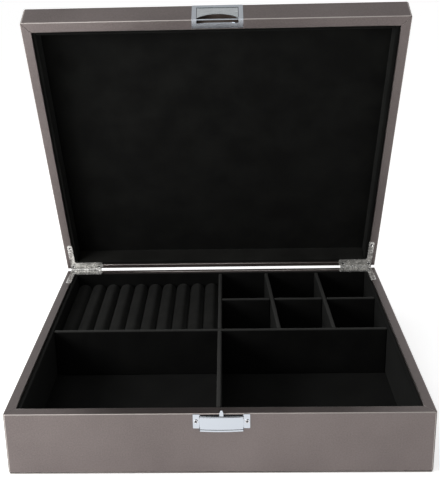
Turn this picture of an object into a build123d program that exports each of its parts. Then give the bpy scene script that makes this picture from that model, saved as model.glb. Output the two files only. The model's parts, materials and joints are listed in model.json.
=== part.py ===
from build123d import *
import os
from math import atan2, cos, degrees, radians, sin

os.makedirs("parts", exist_ok=True)

# A cufflink and jewellery box: mitred wooden walls under a leatherette cover, a velvet
# interior with loose dividers and ring rolls, and a shallow lid on two corner hinges.
# X is the width, +Y points to the back, +Z up. The origin is the centre of the underside.
# Lid pieces are drawn shut and swung open about the hinge line when they are saved.

# Overall sizes, millimetres
box_width = 300.0
box_depth = 280.0
base_height = 48.0
lid_height = 21.3
rim_gap = 0.2
lid_rest_angle = 64.0

# Walls, as seen at the rim, with their cover
side_wall = 7.5
end_wall = 8.5
cover_thickness = 0.8
corner_radius = 1.6
edge_radius = 0.6
seam_width = 0.3
seam_depth = 0.3

# Base floor, from the table up
bottom_board_thickness = 1.6
bottom_board_inset = 0.3
floor_board_thickness = 3.0
floor_lining_thickness = 0.9

# Lid top, from the outside in
lid_board_thickness = 2.0
lid_panel_thickness = 1.6
lid_edge_radius = 1.2

# Velvet linings and dividers
lining_thickness = 3.4
lining_drop = 1.4
divider_thickness = 3.4
divider_fit = 0.1
cell_columns = 3
cell_divider_skew = (2.5, 1.4)

# Ring rolls
roll_count = 10
roll_height = 14.0
roll_top_below_divider = 9.1
roll_gap = 0.3
roll_end_radius = 3.0

# Corner hinges
pivot_inset = 2.0
rim_flat_inset = 4.0
bevel_angle = 45.0
pin_radius = 0.9
running_clearance = 0.05
knuckle_radius = 2.2
knuckle_length = 5.6
knuckle_gap = 0.4
knuckle_count = 5
barrel_clearance = 0.4
barrel_outer_inset = 3.5
leaf_thickness = 1.2
leaf_overhang = 2.8
leaf_outer_inset = 3.2
leaf_corner_radius = 1.9
rear_arm_length = 31.7
side_arm_length = 36.0
side_arm_width = 4.8
seat_clearance = 0.15

# Screws
screw_head_radius = 1.5
screw_shank_radius = 0.75
screw_length = 6.0
screw_point_length = 1.0
screw_edge_distance = 4.2
screw_from_barrel = 4.1

# Latch on the base front
latch_offset = 2.0
latch_width = 39.6
latch_tab_width = 4.4
latch_tab_height = 11.1
latch_sheet = 0.8
plate_corner_radius = 0.5
button_side_gap = 0.4
button_height = 11.3
button_below_rim = 1.8
button_bow = 0.8
button_edge_radius = 0.7
button_proud = 2.1
button_thickness = 1.0
button_lip_height = 1.2
button_lip_proud = 0.4
latch_pivot_below_rim = 4.6
latch_pivot_depth = 1.0
latch_pin_radius = 0.6
latch_pocket_depth = 3.2
latch_pocket_roof = 1.0
latch_pocket_floor_gap = 0.6
lug_radius = 1.2
lug_thickness = 1.0
lug_inset = 0.6
latch_spring_length = 8.0
latch_spring_inset = 2.6
latch_spring_wall = 0.45
latch_screw_below_rim = 5.6
latch_screw_inset = 2.1
pan_head_height = 0.6

# Hook on the button
hook_width = 2.8
hook_seat_depth = 0.1
hook_seat_gap = 0.05
hook_thickness = 0.8
hook_rise = 2.9
hook_root_below_rim = 6.0
hook_shoulder_above_rim = 0.8
hook_tip_width = 1.2
nose_reach = 1.0
nose_height = 1.1
nose_clearance = 0.15

# Catch on the lid front
catch_height = 20.3
catch_side_bar = 3.7
catch_top_bar = 3.2
catch_rim_depth = 8.1
catch_rim_bar = 4.5
catch_proud = 0.4
catch_panel_sink = 0.4
catch_panel_sheet = 0.6
catch_arch_foot = 2.6
catch_arch_crown = 8.2
catch_pocket_depth = 4.0
catch_bar_radius = 0.55
catch_bar_inset = 0.4
catch_bar_lift = 0.05
catch_bar_seat = 0.5
catch_spigot_radius = 1.0
catch_spigot_length = 4.6
catch_spigot_above_rim = 12.0

# Derived planes and faces
half_width = box_width / 2
half_depth = box_depth / 2
inner_half_width = half_width - side_wall
inner_half_depth = half_depth - end_wall
lining_half_width = inner_half_width - lining_thickness
lining_half_depth = inner_half_depth - lining_thickness
board_inner_half_width = inner_half_width + cover_thickness
board_inner_half_depth = inner_half_depth + cover_thickness
board_outer_half_width = half_width - cover_thickness
board_outer_half_depth = half_depth - cover_thickness
front_face = -half_depth

base_rim = base_height
lid_rim = base_height + rim_gap
lid_top = lid_rim + lid_height
lid_board_underside = lid_top - cover_thickness - lid_board_thickness
lid_panel_face = lid_board_underside - lid_panel_thickness
floor_board_top = bottom_board_thickness + floor_board_thickness
floor_top = floor_board_top + floor_lining_thickness
divider_top = base_rim - lining_drop
divider_mid_height = (floor_top + divider_top) / 2

pivot_y = half_depth - pivot_inset
pivot_z = base_rim + rim_gap / 2
rim_flat_end = half_depth - rim_flat_inset
hinge_line = Axis((0, pivot_y, pivot_z), (1, 0, 0))
latch_place = Location((latch_offset, 0, 0))

BASE = 1
LID = -1
LEFT = -1
RIGHT = 1


def save(piece, name, opened=False, at_latch=False):
    """Label a finished piece and write it, moved to the latch and swung open where asked."""
    if at_latch:
        piece = piece.moved(latch_place)
    if opened:
        piece = piece.rotate(hinge_line, -lid_rest_angle)
    piece.label = name
    export_step(piece, f"parts/{name}.step")


def block(x_range, y_range, z_range, mode=Mode.ADD):
    """A box between three pairs of coordinates, in the part being built."""
    with BuildSketch(Plane.XY.offset(z_range[0])) as footprint:
        with Locations(((x_range[0] + x_range[1]) / 2, (y_range[0] + y_range[1]) / 2)):
            Rectangle(x_range[1] - x_range[0], y_range[1] - y_range[0])
    extrude(footprint.sketch, amount=z_range[1] - z_range[0], mode=mode)


def x_cylinder(radius, x_range, y, z, mode=Mode.ADD):
    """A round bar along X between two stations."""
    with BuildSketch(Plane.YZ.offset(x_range[0])) as section:
        with Locations((y, z)):
            Circle(radius)
    extrude(section.sketch, amount=x_range[1] - x_range[0], mode=mode)


def plane_off_rear_edge(half, inset=0.0):
    """Plane the bevel along the rear rim edge of the base or the lid, inset into the wall."""
    rim = base_rim if half == BASE else lid_rim
    slope = radians(bevel_angle)
    y = rim_flat_end - inset * sin(slope)
    z = rim - half * inset * cos(slope)
    reach = 4 * rim_flat_inset
    side = Align.MIN if half == BASE else Align.MAX
    with BuildSketch(Plane.YZ) as waste:
        with Locations((y, z)):
            Rectangle(2 * reach, reach, rotation=-half * bevel_angle, align=(Align.CENTER, side))
    extrude(waste.sketch, amount=half_width + 1, both=True, mode=Mode.SUBTRACT)


# --- Hinges -------------------------------------------------------------------------------

barrel_end = half_width - barrel_outer_inset
barrel_length = knuckle_count * knuckle_length + (knuckle_count - 1) * knuckle_gap
barrel_start = barrel_end - barrel_length
leaf_outer_x = half_width - leaf_outer_inset
leaf_rear_y = pivot_y - knuckle_radius - seat_clearance * 2
web_start_y = leaf_rear_y - leaf_corner_radius
leaf_front_y = inner_half_depth - leaf_overhang
rear_arm_start = leaf_outer_x - rear_arm_length
side_arm_front_y = half_depth - side_arm_length
side_arm_centre = leaf_outer_x - side_arm_width / 2
rear_screw_y = pivot_y - screw_from_barrel
countersink_angle = degrees(atan2(screw_head_radius - screw_shank_radius, leaf_thickness))
hinge_screw_points = (
    (rear_arm_start + screw_edge_distance, rear_screw_y),
    (side_arm_centre, rear_screw_y),
    (side_arm_centre, side_arm_front_y + screw_edge_distance),
)


def leaf_outline(side, grow=0.0):
    """The L of a hinge leaf seen from above, grown all round for its seat."""
    with BuildLine() as corners:
        Polyline(
            (side * (rear_arm_start - grow), leaf_front_y - grow),
            (side * (leaf_outer_x - side_arm_width - grow), leaf_front_y - grow),
            (side * (leaf_outer_x - side_arm_width - grow), side_arm_front_y - grow),
            (side * (leaf_outer_x + grow), side_arm_front_y - grow),
            (side * (leaf_outer_x + grow), leaf_rear_y + grow),
            (side * (rear_arm_start - grow), leaf_rear_y + grow),
            close=True,
        )
    outline = make_face(corners.line)
    fillet(outline.vertices(), leaf_corner_radius)


def seat_hinges(half, pilots=False):
    """Cut the mortises of both hinges, and the screws' pilot holes, into a rim piece."""
    rim = base_rim if half == BASE else lid_rim
    web_depth = sorted((rim, rim - half * leaf_thickness))
    for side in (LEFT, RIGHT):
        with BuildSketch(Plane.XY.offset(rim)) as mortise:
            leaf_outline(side, seat_clearance)
        extrude(mortise.sketch, amount=-half * leaf_thickness, mode=Mode.SUBTRACT)
        ends = sorted((side * (barrel_start - barrel_clearance), side * (barrel_end + barrel_clearance)))
        x_cylinder(knuckle_radius + barrel_clearance, ends, pivot_y, pivot_z, Mode.SUBTRACT)
        block(ends, (web_start_y, pivot_y), web_depth, Mode.SUBTRACT)
        if pilots:
            with BuildSketch(Plane.XY.offset(rim)) as holes:
                with Locations([(side * x, y) for x, y in hinge_screw_points]):
                    Circle(screw_shank_radius)
            extrude(holes.sketch, amount=-half * screw_length, mode=Mode.SUBTRACT)


def hinge_leaf(half, side):
    """One leaf: an L-shaped plate with every other knuckle of the barrel."""
    rim = base_rim if half == BASE else lid_rim
    web_depth = sorted((rim, rim - half * leaf_thickness))
    first = 0 if half == BASE else 1
    with BuildPart() as leaf:
        with BuildSketch(Plane.XY.offset(rim)):
            leaf_outline(side)
        extrude(amount=-half * leaf_thickness)
        for index in range(first, knuckle_count, 2):
            start = barrel_start + index * (knuckle_length + knuckle_gap)
            ends = sorted((side * start, side * (start + knuckle_length)))
            block(ends, (web_start_y, pivot_y), web_depth)
            x_cylinder(knuckle_radius, ends, pivot_y, pivot_z)
            x_cylinder(pin_radius + running_clearance, ends, pivot_y, pivot_z, Mode.SUBTRACT)
        with BuildSketch(Plane.XY.offset(rim)):
            with Locations([(side * x, y) for x, y in hinge_screw_points]):
                Circle(screw_head_radius)
        extrude(amount=-half * leaf_thickness, taper=countersink_angle, mode=Mode.SUBTRACT)
    return leaf.part


def hinge_screws(half):
    """The countersunk screws of both leaves on one half, as separate solids."""
    rim = base_rim if half == BASE else lid_rim
    shank_radius = screw_shank_radius - seat_clearance / 2
    with BuildPart() as screws:
        for side in (LEFT, RIGHT):
            for x, y in hinge_screw_points:
                with BuildSketch(Plane((side * x, y, rim), x_dir=(1, 0, 0), z_dir=(0, -1, 0))):
                    with BuildLine():
                        Polyline(
                            (0, -half * seat_clearance),
                            (screw_head_radius - seat_clearance, -half * seat_clearance),
                            (shank_radius, -half * leaf_thickness),
                            (shank_radius, -half * (screw_length - screw_point_length)),
                            (0, -half * screw_length),
                            close=True,
                        )
                    make_face()
                revolve(axis=Axis((side * x, y, 0), (0, 0, 1)))
    return screws.part


# --- Base ---------------------------------------------------------------------------------

with BuildPart() as bottom_board:
    with BuildSketch():
        RectangleRounded(
            box_width - 2 * bottom_board_inset, box_depth - 2 * bottom_board_inset, corner_radius
        )
    extrude(amount=bottom_board_thickness)
save(bottom_board.part, "bottom_board")


def score_mitres(half):
    """Sink the seams where the cover's strips meet at the front corners of a rim."""
    rim = base_rim if half == BASE else lid_rim
    run_x, run_y = side_wall, end_wall
    for side in (LEFT, RIGHT):
        middle = (side * (half_width - run_x / 2), -half_depth + run_y / 2, rim)
        seam_plane = Plane(middle, x_dir=(-side * run_x, run_y, 0), z_dir=(0, 0, 1))
        with BuildSketch(seam_plane) as seam:
            Rectangle(2 * (run_x + run_y), seam_width)
        extrude(seam.sketch, amount=-half * seam_depth, mode=Mode.SUBTRACT)


def mitred_board(x_sign, y_sign, z_low, z_high):
    """A wall board whose ends are cut on the line between outer and inner corners."""
    outer_x, outer_y = board_outer_half_width, board_outer_half_depth
    inner_x, inner_y = board_inner_half_width, board_inner_half_depth
    with BuildSketch(Plane.XY.offset(z_low)) as outline:
        with BuildLine():
            if y_sign:
                Polyline(
                    (-outer_x, y_sign * outer_y),
                    (outer_x, y_sign * outer_y),
                    (inner_x, y_sign * inner_y),
                    (-inner_x, y_sign * inner_y),
                    close=True,
                )
            else:
                Polyline(
                    (x_sign * outer_x, -outer_y),
                    (x_sign * outer_x, outer_y),
                    (x_sign * inner_x, inner_y),
                    (x_sign * inner_x, -inner_y),
                    close=True,
                )
        make_face()
    extrude(outline.sketch, amount=z_high - z_low)


latch_opening = latch_width - 2 * latch_tab_width
button_width = latch_opening - 2 * button_side_gap
latch_screw_from_centre = latch_width / 2 - latch_screw_inset
latch_screw_z = base_rim - latch_screw_below_rim
button_top = base_rim - button_below_rim
button_bottom = button_top - button_height
pocket_low = button_bottom - latch_pocket_floor_gap
pocket_high = base_rim - latch_pocket_roof
tab_low = base_rim - latch_tab_height
cheek_inner = latch_opening / 2
cheek_outer = cheek_inner + latch_sheet
pocket_back = front_face + latch_pocket_depth


def cut_latch_pocket():
    """Open the pocket behind the latch button, and its two screw holes, in a front piece."""
    with BuildPart(mode=Mode.PRIVATE) as pocket:
        block((-cheek_inner, cheek_inner), (front_face - 1, pocket_back), (pocket_low, pocket_high))
        block((-cheek_outer, cheek_outer), (front_face - 1, pocket_back), (tab_low, pocket_high))
        with BuildSketch(Plane.XZ.offset(half_depth)):
            with Locations(
                (-latch_screw_from_centre, latch_screw_z), (latch_screw_from_centre, latch_screw_z)
            ):
                Circle(screw_shank_radius)
        extrude(amount=-screw_length)
    add(pocket.part.moved(latch_place), mode=Mode.SUBTRACT)


board_top = base_rim - cover_thickness
with BuildPart() as base_front_board:
    mitred_board(0, -1, bottom_board_thickness, board_top)
    cut_latch_pocket()
save(base_front_board.part, "base_front_board")

with BuildPart() as base_rear_board:
    mitred_board(0, 1, bottom_board_thickness, board_top)
    plane_off_rear_edge(BASE, cover_thickness)
    seat_hinges(BASE, pilots=True)
save(base_rear_board.part, "base_rear_board")

for side, name in ((LEFT, "left"), (RIGHT, "right")):
    with BuildPart() as base_side_board:
        mitred_board(side, 0, bottom_board_thickness, board_top)
        plane_off_rear_edge(BASE, cover_thickness)
        seat_hinges(BASE, pilots=True)
    save(base_side_board.part, f"base_{name}_board")

with BuildPart() as floor_board:
    block(
        (-board_inner_half_width, board_inner_half_width),
        (-board_inner_half_depth, board_inner_half_depth),
        (bottom_board_thickness, floor_board_top),
    )
save(floor_board.part, "floor_board")

with BuildPart() as base_cover:
    with BuildSketch(Plane.XY.offset(bottom_board_thickness)):
        RectangleRounded(box_width, box_depth, corner_radius)
    extrude(amount=base_height - bottom_board_thickness)
    rim_edges = base_cover.edges().group_by(Axis.Z)[-1]
    lower_edges = base_cover.edges().group_by(Axis.Z)[0]
    fillet(rim_edges, edge_radius)
    fillet(lower_edges, edge_radius / 2)
    plane_off_rear_edge(BASE)
    with BuildPart(mode=Mode.PRIVATE) as board_space:
        block(
            (-board_outer_half_width, board_outer_half_width),
            (-board_outer_half_depth, board_outer_half_depth),
            (bottom_board_thickness, board_top),
        )
        plane_off_rear_edge(BASE, cover_thickness)
        block(
            (-board_inner_half_width, board_inner_half_width),
            (-board_inner_half_depth, board_inner_half_depth),
            (floor_top, board_top),
            Mode.SUBTRACT,
        )
    add(board_space.part, mode=Mode.SUBTRACT)
    block(
        (-inner_half_width, inner_half_width),
        (-inner_half_depth, inner_half_depth),
        (floor_top, base_rim),
        Mode.SUBTRACT,
    )
    score_mitres(BASE)
    cut_latch_pocket()
    seat_hinges(BASE)
save(base_cover.part, "base_cover")

with BuildPart() as floor_lining:
    block(
        (-board_inner_half_width, board_inner_half_width),
        (-board_inner_half_depth, board_inner_half_depth),
        (floor_board_top, floor_top),
    )
save(floor_lining.part, "floor_lining")


def lining(side, z_low, z_high):
    """One velvet-covered lining board against a wall."""
    if side in ("left", "right"):
        sign = LEFT if side == "left" else RIGHT
        x_range = sorted((sign * lining_half_width, sign * inner_half_width))
        y_range = (-inner_half_depth, inner_half_depth)
    else:
        sign = -1 if side == "front" else 1
        x_range = (-lining_half_width, lining_half_width)
        y_range = sorted((sign * lining_half_depth, sign * inner_half_depth))
    with BuildPart() as board:
        block(x_range, y_range, (z_low, z_high))
    return board.part


for side in ("front", "rear", "left", "right"):
    save(lining(side, floor_top, divider_top), f"base_{side}_lining")

# --- Dividers -----------------------------------------------------------------------------

divider_half = divider_thickness / 2
slot_half = divider_half + divider_fit
cell_width = (lining_half_width - divider_half - (cell_columns - 1) * divider_thickness) / cell_columns
cell_divider_x = [
    divider_half + (index + 1) * cell_width + (index + 0.5) * divider_thickness
    for index in range(cell_columns - 1)
]
cell_cross_y = (divider_half + lining_half_depth) / 2
upper_half = (divider_mid_height, divider_top + 1)
lower_half = (floor_top - 1, divider_mid_height)

with BuildPart() as centre_divider:
    block(
        (-divider_half, divider_half),
        (-lining_half_depth + divider_fit, lining_half_depth - divider_fit),
        (floor_top, divider_top),
    )
    block((-divider_half - 1, divider_half + 1), (-slot_half, slot_half), upper_half, Mode.SUBTRACT)
save(centre_divider.part, "centre_divider")

with BuildPart() as cross_divider:
    block(
        (-lining_half_width + divider_fit, lining_half_width - divider_fit),
        (-divider_half, divider_half),
        (floor_top, divider_top),
    )
    block((-slot_half, slot_half), (-divider_half - 1, divider_half + 1), lower_half, Mode.SUBTRACT)
save(cross_divider.part, "cross_divider")


def cell_divider_plane(index, height):
    """The skewed plane on which a loose cell divider is drawn, centred on its crossing."""
    skew = radians(cell_divider_skew[index])
    return Plane(
        (cell_divider_x[index], cell_cross_y, height),
        x_dir=(cos(skew), sin(skew), 0),
        z_dir=(0, 0, 1),
    )


cell_divider_length = lining_half_depth - divider_half - 4 * divider_fit
for index in range(cell_columns - 1):
    with BuildPart() as cell_divider:
        with BuildSketch(cell_divider_plane(index, floor_top)):
            Rectangle(divider_thickness, cell_divider_length)
        extrude(amount=divider_top - floor_top)
        with BuildSketch(cell_divider_plane(index, floor_top)):
            Rectangle(2 * divider_thickness, divider_thickness + 4 * divider_fit)
        extrude(amount=divider_mid_height - floor_top, mode=Mode.SUBTRACT)
    save(cell_divider.part, f"cell_divider_{index + 1}")

with BuildPart() as cell_cross_divider:
    block(
        (divider_half + divider_fit, lining_half_width - divider_fit),
        (cell_cross_y - divider_half, cell_cross_y + divider_half),
        (floor_top, divider_top),
    )
    for index in range(cell_columns - 1):
        with BuildSketch(cell_divider_plane(index, divider_mid_height)):
            Rectangle(divider_thickness + 4 * divider_fit, 3 * divider_thickness)
        extrude(amount=divider_top, mode=Mode.SUBTRACT)
save(cell_cross_divider.part, "cell_cross_divider")

# --- Ring rolls ---------------------------------------------------------------------------

roll_top = divider_top - roll_top_below_divider
roll_seat = roll_top - roll_height
rolls_left = -lining_half_width + roll_gap
rolls_right = -divider_half - roll_gap
rolls_front = divider_half + roll_gap
rolls_rear = lining_half_depth - roll_gap
roll_pitch = (rolls_right - rolls_left) / roll_count
roll_width = roll_pitch - roll_gap
roll_shoulder = roll_top - roll_width / 2

with BuildPart() as ring_roll_base:
    block((rolls_left, rolls_right), (rolls_front, rolls_rear), (floor_top, roll_seat))
save(ring_roll_base.part, "ring_roll_base")

for index in range(roll_count):
    roll_x = rolls_left + (index + 0.5) * roll_pitch
    with BuildPart() as ring_roll:
        with BuildSketch(Plane.XZ.offset(-rolls_front)):
            with BuildLine():
                Polyline(
                    (roll_x - roll_width / 2, roll_shoulder),
                    (roll_x - roll_width / 2, roll_seat),
                    (roll_x + roll_width / 2, roll_seat),
                    (roll_x + roll_width / 2, roll_shoulder),
                )
                ThreePointArc(
                    (roll_x + roll_width / 2, roll_shoulder),
                    (roll_x, roll_top),
                    (roll_x - roll_width / 2, roll_shoulder),
                )
            make_face()
        extrude(amount=rolls_front - rolls_rear)
        end_edges = ring_roll.edges().group_by(Axis.Y)
        top_arcs = (end_edges[0] + end_edges[-1]).filter_by(GeomType.CIRCLE)
        fillet(top_arcs, roll_end_radius)
    save(ring_roll.part, f"ring_roll_{index + 1:02d}")

# --- Base hardware ------------------------------------------------------------------------

for side, name in ((LEFT, "left"), (RIGHT, "right")):
    save(hinge_leaf(BASE, side), f"base_hinge_leaf_{name}")
    with BuildPart() as hinge_pin:
        x_cylinder(pin_radius, sorted((side * barrel_start, side * barrel_end)), pivot_y, pivot_z)
        chamfer(hinge_pin.edges().filter_by(GeomType.CIRCLE), pin_radius / 3)
    save(hinge_pin.part, f"hinge_pin_{name}")
save(hinge_screws(BASE), "base_hinge_screws")

latch_pivot_y = front_face + latch_pivot_depth
latch_pivot_z = base_rim - latch_pivot_below_rim
plate_front = front_face - latch_sheet

with BuildPart() as latch_plate:
    back = (pocket_back - latch_sheet, pocket_back)
    block((-cheek_inner, cheek_inner), back, (pocket_low, pocket_high))
    for side in (LEFT, RIGHT):
        cheek = sorted((side * cheek_inner, side * cheek_outer))
        tab = sorted((side * cheek_inner, side * latch_width / 2))
        block(cheek, (plate_front, pocket_back), (tab_low, pocket_high))
        block(tab, (plate_front, front_face), (tab_low, base_rim - rim_gap))
    outer_edges = latch_plate.edges().filter_by(Axis.Y).group_by(Axis.X)
    fillet(outer_edges[0] + outer_edges[-1], plate_corner_radius)
    x_cylinder(
        latch_pin_radius, (-cheek_outer, cheek_outer), latch_pivot_y, latch_pivot_z, Mode.SUBTRACT
    )
    with BuildSketch(Plane.XZ.offset(half_depth + latch_sheet)):
        with Locations(
            (-latch_screw_from_centre, latch_screw_z), (latch_screw_from_centre, latch_screw_z)
        ):
            Circle(screw_shank_radius)
    extrude(amount=-latch_sheet, mode=Mode.SUBTRACT)
save(latch_plate.part, "latch_plate", at_latch=True)

with BuildPart() as latch_pin:
    x_cylinder(latch_pin_radius, (-cheek_outer, cheek_outer), latch_pivot_y, latch_pivot_z)
save(latch_pin.part, "latch_pin", at_latch=True)

lug_outer = button_width / 2 - lug_inset
lug_inner = lug_outer - lug_thickness
latch_spring_end = lug_inner - latch_spring_inset
with BuildPart() as latch_spring:
    spring_span = (latch_spring_end - latch_spring_length, latch_spring_end)
    spring_bore = latch_pin_radius + running_clearance
    x_cylinder(spring_bore + latch_spring_wall, spring_span, latch_pivot_y, latch_pivot_z)
    x_cylinder(spring_bore, spring_span, latch_pivot_y, latch_pivot_z, Mode.SUBTRACT)
save(latch_spring.part, "latch_spring", at_latch=True)

with BuildPart() as latch_screws:
    for side in (LEFT, RIGHT):
        with BuildSketch(Plane.XZ.offset(half_depth + latch_sheet)):
            with Locations((side * latch_screw_from_centre, latch_screw_z)):
                Circle(screw_head_radius)
        extrude(amount=pan_head_height)
        with BuildSketch(Plane.XZ.offset(half_depth + latch_sheet)):
            with Locations((side * latch_screw_from_centre, latch_screw_z)):
                Circle(screw_shank_radius)
        extrude(amount=-screw_length)
    head_rims = latch_screws.edges().group_by(Axis.Y)[0]
    chamfer(head_rims, pan_head_height / 2)
save(latch_screws.part, "latch_screws", at_latch=True)

# --- Latch button and hook ----------------------------------------------------------------

button_crown = front_face - button_proud
button_end = button_crown + button_bow
hook_front = button_crown + button_thickness - hook_seat_depth
hook_back = hook_front + hook_thickness
hook_root = base_rim - hook_root_below_rim
hook_top = base_rim + hook_rise
hook_shoulder = base_rim + hook_shoulder_above_rim


def bowed_band(proud, thickness):
    """A band bowed outwards across the width, as seen from above."""
    outer_end = button_end - proud
    outer_crown = button_crown - proud
    with BuildLine() as band:
        ThreePointArc(
            (-button_width / 2, outer_end), (0, outer_crown), (button_width / 2, outer_end)
        )
        Line((button_width / 2, outer_end), (button_width / 2, outer_end + thickness))
        ThreePointArc(
            (button_width / 2, outer_end + thickness),
            (0, outer_crown + thickness),
            (-button_width / 2, outer_end + thickness),
        )
        Line((-button_width / 2, outer_end + thickness), (-button_width / 2, outer_end))
    make_face(band.line)


with BuildPart() as latch_button:
    with BuildSketch(Plane.XY.offset(button_bottom)):
        bowed_band(0, button_thickness)
    extrude(amount=button_height)
    with BuildSketch(Plane.XY.offset(button_bottom)):
        bowed_band(button_lip_proud, button_thickness + button_lip_proud)
    extrude(amount=button_lip_height)
    front_top = latch_button.edges().group_by(Axis.Z)[-1].sort_by(Axis.Y)[0]
    fillet(front_top, button_edge_radius)
    for side in (LEFT, RIGHT):
        ends = sorted((side * lug_inner, side * lug_outer))
        x_cylinder(lug_radius, ends, latch_pivot_y, latch_pivot_z)
        block(
            ends,
            (button_end + button_thickness / 2, latch_pivot_y),
            (latch_pivot_z - lug_radius, latch_pivot_z + lug_radius),
        )
        x_cylinder(
            latch_pin_radius + running_clearance, ends, latch_pivot_y, latch_pivot_z, Mode.SUBTRACT
        )
    block(
        (-hook_width / 2 - hook_seat_gap, hook_width / 2 + hook_seat_gap),
        (hook_front, latch_pivot_y),
        (hook_root - hook_seat_gap, base_rim),
        Mode.SUBTRACT,
    )
save(latch_button.part, "latch_button", at_latch=True)

bar_y = front_face + catch_bar_inset
bar_z = lid_rim + catch_bar_radius + catch_bar_lift
nose_underside = bar_z + catch_bar_radius + nose_clearance
with BuildPart() as latch_hook:
    with BuildSketch(Plane.YZ):
        with BuildLine():
            Polyline(
                (hook_front, hook_root),
                (hook_front, hook_top),
                (hook_back, hook_top),
                (hook_back + nose_reach, nose_underside + nose_height / 2),
                (hook_back + nose_reach, nose_underside),
                (hook_back, nose_underside),
                (hook_back, hook_root),
                close=True,
            )
        make_face()
    extrude(amount=hook_width / 2, both=True)
    with BuildSketch(Plane.XZ):
        with BuildLine():
            Polyline(
                (-hook_width / 2, hook_root),
                (hook_width / 2, hook_root),
                (hook_width / 2, hook_shoulder),
                (hook_tip_width / 2, hook_top),
                (-hook_tip_width / 2, hook_top),
                (-hook_width / 2, hook_shoulder),
                close=True,
            )
        make_face()
    extrude(amount=box_depth, both=True, mode=Mode.INTERSECT)
save(latch_hook.part, "latch_hook", at_latch=True)

# --- Lid ----------------------------------------------------------------------------------

catch_top = lid_rim + catch_height
catch_front = front_face - catch_proud
catch_back = catch_front + latch_sheet
catch_window = latch_width / 2 - catch_side_bar
catch_crown_z = lid_rim + catch_arch_crown
catch_foot_z = lid_rim + catch_arch_foot
catch_panel_high = catch_top - catch_top_bar
catch_panel_front = catch_front + catch_panel_sink
catch_panel_back = catch_panel_front + catch_panel_sheet
catch_pocket_back = front_face + catch_pocket_depth
spigot_z = lid_rim + catch_spigot_above_rim
spigot_x = latch_width / 2 - catch_side_bar / 2
catch_bar_end = catch_window + catch_bar_seat
rim_plate = (lid_rim, lid_rim + latch_sheet)


def seat_catch():
    """Let the catch, its bar and its spigots into a front piece of the lid."""
    plate = (-latch_width / 2, latch_width / 2)
    window = (-catch_window, catch_window)
    with BuildPart(mode=Mode.PRIVATE) as seat:
        block(plate, (catch_front, catch_back), (lid_rim, catch_top))
        block(window, (catch_front, catch_panel_back), (lid_rim, catch_panel_high))
        block(plate, (catch_front, catch_front + catch_rim_depth), rim_plate)
        block(window, (catch_front, catch_pocket_back), (lid_rim, catch_crown_z))
        x_cylinder(catch_bar_radius, (-catch_bar_end, catch_bar_end), bar_y, bar_z)
        with BuildSketch(Plane.XZ.offset(-catch_back)):
            with Locations((-spigot_x, spigot_z), (spigot_x, spigot_z)):
                Circle(catch_spigot_radius)
        extrude(amount=-catch_spigot_length)
    add(seat.part.moved(latch_place), mode=Mode.SUBTRACT)


lid_board_low = lid_rim + cover_thickness
with BuildPart() as lid_front_board:
    mitred_board(0, -1, lid_board_low, lid_board_underside)
    seat_catch()
save(lid_front_board.part, "lid_front_board", opened=True)

with BuildPart() as lid_rear_board:
    mitred_board(0, 1, lid_board_low, lid_board_underside)
    plane_off_rear_edge(LID, cover_thickness)
    seat_hinges(LID, pilots=True)
save(lid_rear_board.part, "lid_rear_board", opened=True)

for side, name in ((LEFT, "left"), (RIGHT, "right")):
    with BuildPart() as lid_side_board:
        mitred_board(side, 0, lid_board_low, lid_board_underside)
        plane_off_rear_edge(LID, cover_thickness)
        seat_hinges(LID, pilots=True)
    save(lid_side_board.part, f"lid_{name}_board", opened=True)

with BuildPart() as lid_top_board:
    block(
        (-board_outer_half_width, board_outer_half_width),
        (-board_outer_half_depth, board_outer_half_depth),
        (lid_board_underside, lid_top - cover_thickness),
    )
save(lid_top_board.part, "lid_top_board", opened=True)

with BuildPart() as lid_cover:
    with BuildSketch(Plane.XY.offset(lid_rim)):
        RectangleRounded(box_width, box_depth, corner_radius)
    extrude(amount=lid_height)
    lid_rim_edges = lid_cover.edges().group_by(Axis.Z)[0]
    lid_top_edges = lid_cover.edges().group_by(Axis.Z)[-1]
    fillet(lid_rim_edges, edge_radius)
    fillet(lid_top_edges, lid_edge_radius)
    plane_off_rear_edge(LID)
    with BuildPart(mode=Mode.PRIVATE) as lid_board_space:
        block(
            (-board_outer_half_width, board_outer_half_width),
            (-board_outer_half_depth, board_outer_half_depth),
            (lid_board_low, lid_top - cover_thickness),
        )
        plane_off_rear_edge(LID, cover_thickness)
        block(
            (-board_inner_half_width, board_inner_half_width),
            (-board_inner_half_depth, board_inner_half_depth),
            (lid_board_low, lid_board_underside),
            Mode.SUBTRACT,
        )
    add(lid_board_space.part, mode=Mode.SUBTRACT)
    block(
        (-inner_half_width, inner_half_width),
        (-inner_half_depth, inner_half_depth),
        (lid_rim, lid_board_underside),
        Mode.SUBTRACT,
    )
    score_mitres(LID)
    seat_catch()
    seat_hinges(LID)
save(lid_cover.part, "lid_cover", opened=True)

with BuildPart() as lid_panel:
    block(
        (-inner_half_width, inner_half_width),
        (-inner_half_depth, inner_half_depth),
        (lid_panel_face, lid_board_underside),
    )
save(lid_panel.part, "lid_panel", opened=True)

for side in ("front", "rear", "left", "right"):
    save(lining(side, lid_rim + lining_drop, lid_panel_face), f"lid_{side}_lining", opened=True)

# --- Lid hardware -------------------------------------------------------------------------

for side, name in ((LEFT, "left"), (RIGHT, "right")):
    save(hinge_leaf(LID, side), f"lid_hinge_leaf_{name}", opened=True)
save(hinge_screws(LID), "lid_hinge_screws", opened=True)

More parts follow.
